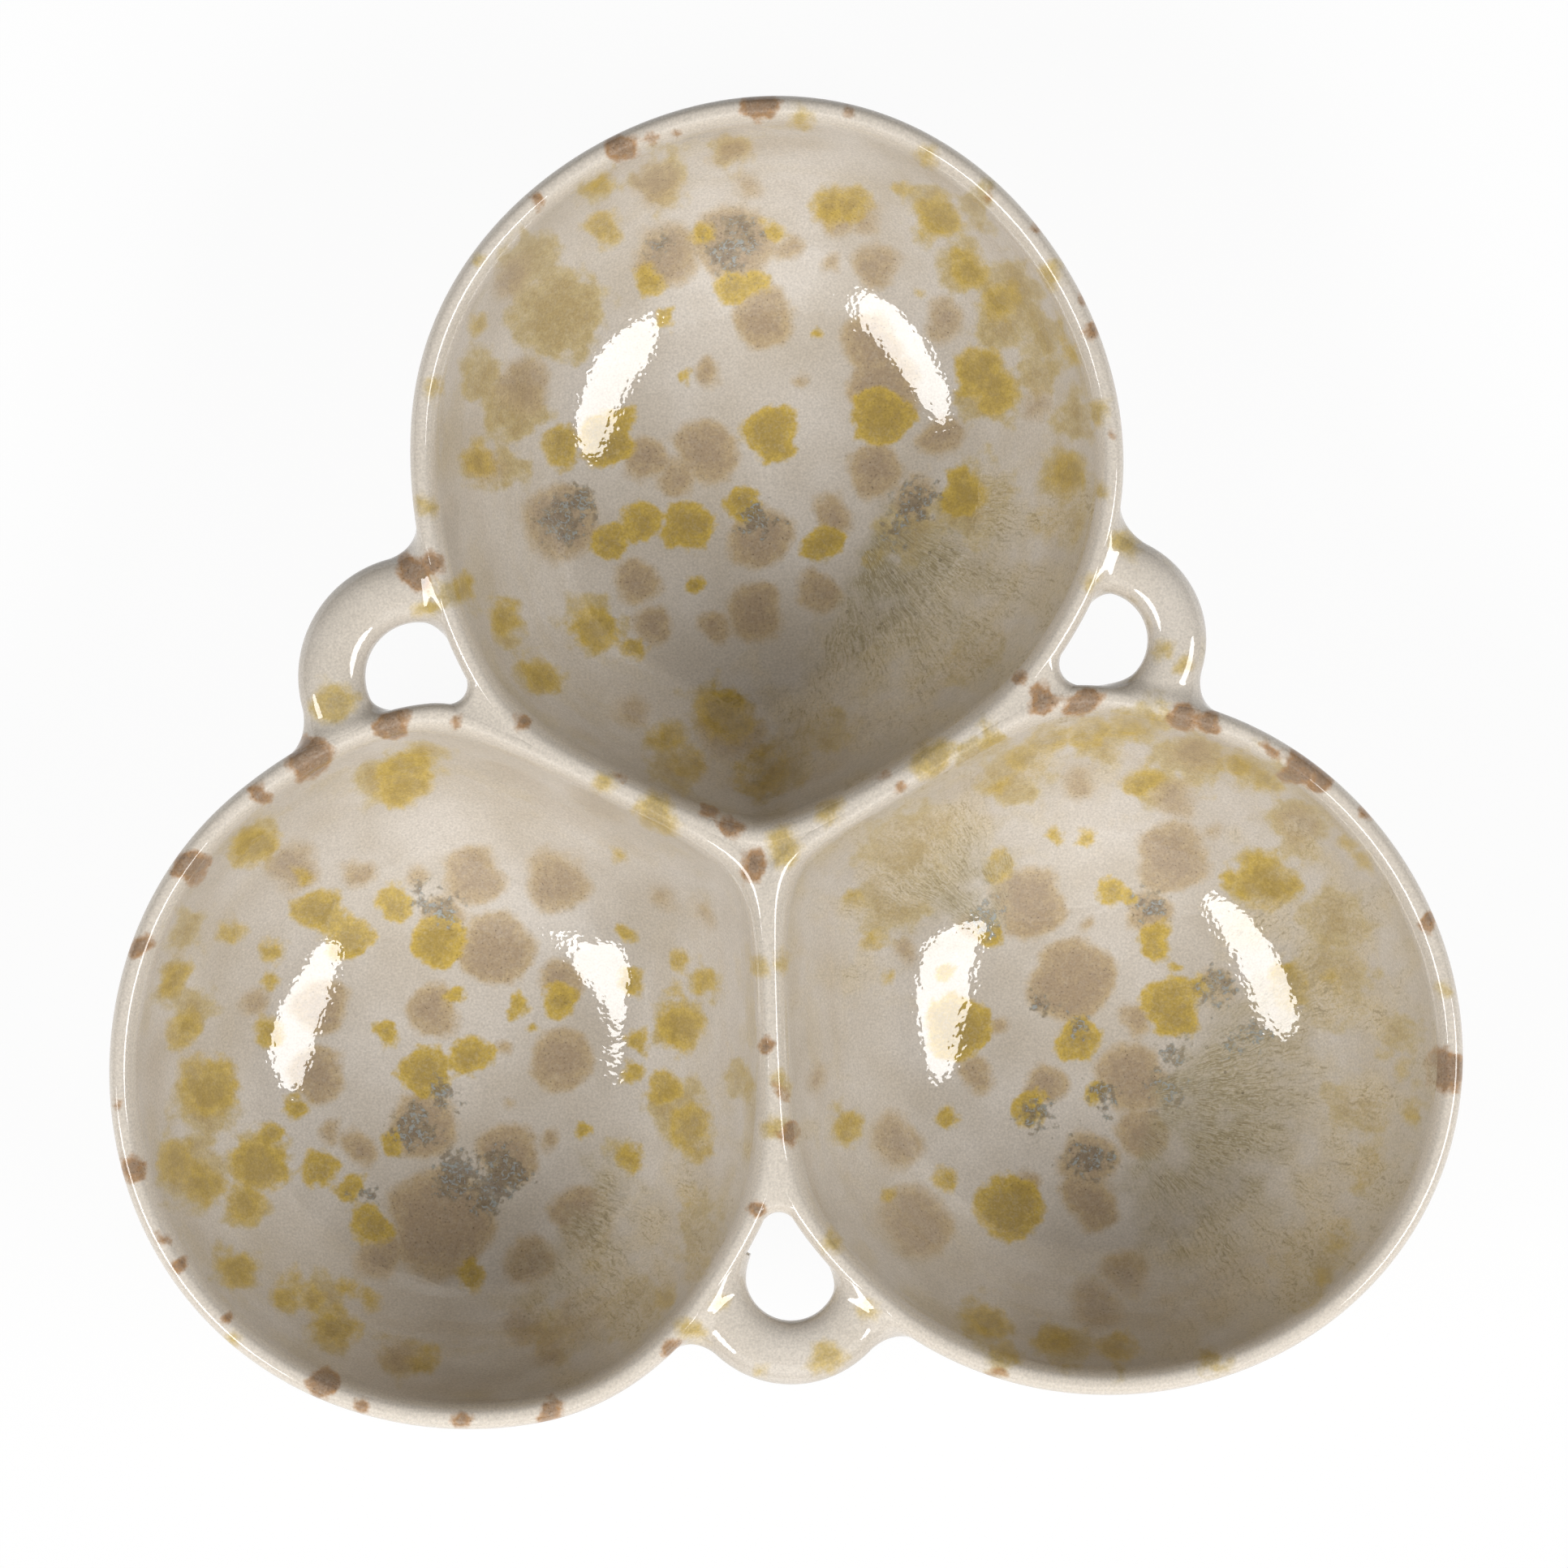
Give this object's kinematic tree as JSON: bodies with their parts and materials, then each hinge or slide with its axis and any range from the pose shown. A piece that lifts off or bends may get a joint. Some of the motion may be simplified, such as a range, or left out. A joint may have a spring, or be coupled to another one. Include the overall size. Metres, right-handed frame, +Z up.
{
  "type": "triple bowl",
  "caption": "Glazed stoneware snack dish: round bowls pressed together about a shared centre, with a loop handle over each finger hole between neighbours.",
  "frame": {"origin": "on the table, at the middle of the box round the whole object", "axes": "+Z up, +Y towards the rear bowl, +X from the left bowl to the right one"},
  "size_m": [0.2402, 0.2366, 0.055],
  "materials": {
    "reactive_glaze": "glossy warm grey reactive glaze with soft taupe, mustard and rust spots",
    "bare_stoneware": "matt unglazed stoneware"
  },
  "bodies": {
    "root": {"rear_bowl": "reactive_glaze", "left_bowl": "reactive_glaze", "right_bowl": "reactive_glaze", "left_handle": "reactive_glaze", "right_handle": "reactive_glaze", "front_handle": "reactive_glaze", "rear_left_seam": "reactive_glaze", "rear_right_seam": "reactive_glaze", "front_seam": "reactive_glaze", "centre_web": "reactive_glaze", "rear_foot_ring": "bare_stoneware", "left_foot_ring": "bare_stoneware", "right_foot_ring": "bare_stoneware"}
  },
  "joints": []
}
